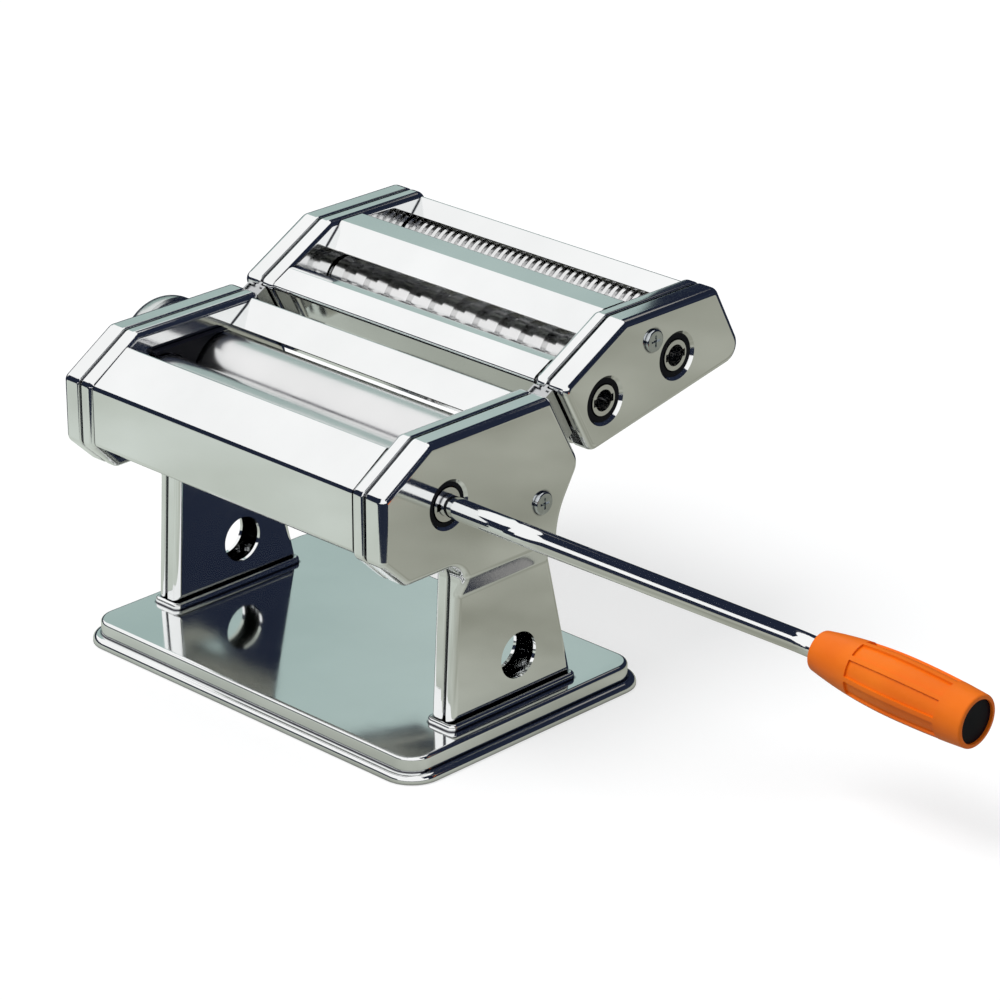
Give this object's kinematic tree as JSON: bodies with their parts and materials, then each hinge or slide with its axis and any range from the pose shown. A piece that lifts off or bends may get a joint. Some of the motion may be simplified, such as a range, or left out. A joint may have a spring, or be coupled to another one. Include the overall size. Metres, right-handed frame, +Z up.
{
  "type": "pasta roller machine",
  "caption": "Hand-cranked steel pasta machine: two smooth rollers with a thickness knob, and a lift-off head with wide and narrow noodle cutters.",
  "frame": {"origin": "on the table, under the middle of the base", "axes": "+X along the rollers towards the crank, +Y towards the cutter head at the back, +Z up"},
  "size_m": [0.4108, 0.2042, 0.1605],
  "materials": {
    "polished_steel": "mirror polished",
    "plain_steel": "plain bright",
    "screw_steel": "bright plated",
    "roller_alloy": "polished",
    "gear_steel": "cut, lightly greased",
    "bush_bronze": "turned",
    "black_plastic": "moulded satin",
    "orange_plastic": "moulded satin gloss",
    "knob_chrome": "plated",
    "dial_alloy": "turned satin"
  },
  "bodies": {
    "machine": {"base_plate": "polished_steel", "base_screws": "plain_steel", "left_inner_frame": "polished_steel", "right_inner_frame": "polished_steel", "left_outer_cover": "polished_steel", "right_outer_cover": "polished_steel", "cover_screws": "screw_steel", "front_tie_rod": "plain_steel", "rear_tie_rod": "plain_steel", "front_cover": "polished_steel", "rear_cover": "polished_steel", "front_scraper": "plain_steel", "rear_scraper": "plain_steel", "left_side_guide": "black_plastic", "right_side_guide": "black_plastic", "left_rail_channel": "plain_steel", "right_rail_channel": "plain_steel", "roller_bushes": "bush_bronze", "crank_collar": "black_plastic", "dial_ring": "dial_alloy"},
    "drive_roller": {"front_roller": "roller_alloy", "drive_gear": "gear_steel"},
    "adjuster": {"setting_shaft": "plain_steel", "shaft_clip": "plain_steel", "knob_spring": "plain_steel", "knob_screw": "plain_steel"},
    "knob": {"adjuster_knob": "knob_chrome", "locating_pin": "plain_steel"},
    "carriage": {"rear_roller_sleeves": "bush_bronze"},
    "driven_roller": {"rear_roller": "roller_alloy", "driven_gear": "gear_steel"},
    "crank": {"crank_rod": "polished_steel", "crank_cross_pin": "plain_steel"},
    "grip": {"crank_grip": "orange_plastic", "grip_end_cap": "black_plastic"},
    "cutter_head": {"left_cutter_frame": "polished_steel", "right_cutter_frame": "polished_steel", "left_cutter_cover": "polished_steel", "right_cutter_cover": "polished_steel", "cutter_screws": "screw_steel", "cutter_tie_rod": "plain_steel", "cutter_bushes": "bush_bronze", "socket_collars": "black_plastic", "left_cutter_tongue": "plain_steel", "right_cutter_tongue": "plain_steel", "front_guard": "polished_steel", "ridge_guard": "polished_steel", "rear_guard": "polished_steel", "wide_combs": "plain_steel", "narrow_combs": "plain_steel"},
    "wide_drive": {"wide_drive_cutter": "roller_alloy", "wide_drive_gear": "gear_steel"},
    "wide_mate": {"wide_mate_cutter": "roller_alloy", "wide_mate_gear": "gear_steel"},
    "narrow_drive": {"narrow_drive_cutter": "roller_alloy", "narrow_drive_gear": "gear_steel"},
    "narrow_mate": {"narrow_mate_cutter": "roller_alloy", "narrow_mate_gear": "gear_steel"}
  },
  "joints": [
    {"name": "crank_turn", "type": "hinge", "parent": "machine", "child": "drive_roller", "pos_m": [0, -0.0415, 0.112], "axis": [1, 0, 0], "continuous": true},
    {"name": "crank_pull", "type": "slide", "parent": "drive_roller", "child": "crank", "axis": [1, 0, 0], "range_m": [0, 0.03]},
    {"name": "grip_spin", "type": "hinge", "parent": "crank", "child": "grip", "pos_m": [0.21409, 0.0405, 0.06205], "axis": [0.9986, 0, -0.0523], "continuous": true},
    {"name": "knob_turn", "type": "hinge", "parent": "machine", "child": "adjuster", "pos_m": [0, -0.0071, 0.11316], "axis": [1, 0, 0], "range_deg": [-60, 60]},
    {"name": "knob_pull", "type": "slide", "parent": "adjuster", "child": "knob", "axis": [-1, 0, 0], "range_m": [0, 0.005], "stiffness_N_per_m": 400, "springref_m": -0.004, "deforming": ["knob_spring"]},
    {"name": "sleeve_turn", "type": "hinge", "parent": "adjuster", "child": "carriage", "pos_m": [0, -0.0071, 0.112], "axis": [1, 0, 0], "range_deg": [-60, 60]},
    {"name": "rear_roller_spin", "type": "hinge", "parent": "carriage", "child": "driven_roller", "pos_m": [0, -0.0071, 0.112], "axis": [1, 0, 0], "continuous": true},
    {"name": "cutter_lift", "type": "slide", "parent": "machine", "child": "cutter_head", "axis": [0, -0.4695, 0.8829], "range_m": [0, 0.03]},
    {"name": "wide_turn", "type": "hinge", "parent": "cutter_head", "child": "wide_drive", "pos_m": [0, 0.0466, 0.13], "axis": [1, 0, 0], "continuous": true},
    {"name": "wide_mate_turn", "type": "hinge", "parent": "cutter_head", "child": "wide_mate", "pos_m": [0, 0.06531, 0.1333], "axis": [1, 0, 0], "continuous": true},
    {"name": "narrow_turn", "type": "hinge", "parent": "cutter_head", "child": "narrow_drive", "pos_m": [0, 0.08895, 0.13747], "axis": [1, 0, 0], "continuous": true},
    {"name": "narrow_mate_turn", "type": "hinge", "parent": "cutter_head", "child": "narrow_mate", "pos_m": [0, 0.10766, 0.14077], "axis": [1, 0, 0], "continuous": true}
  ],
  "couplings": [
    {"joint": "rear_roller_spin", "follows": "crank_turn", "ratio": -1},
    {"joint": "sleeve_turn", "follows": "knob_turn", "ratio": -1},
    {"joint": "wide_mate_turn", "follows": "wide_turn", "ratio": -1},
    {"joint": "narrow_mate_turn", "follows": "narrow_turn", "ratio": -1}
  ]
}
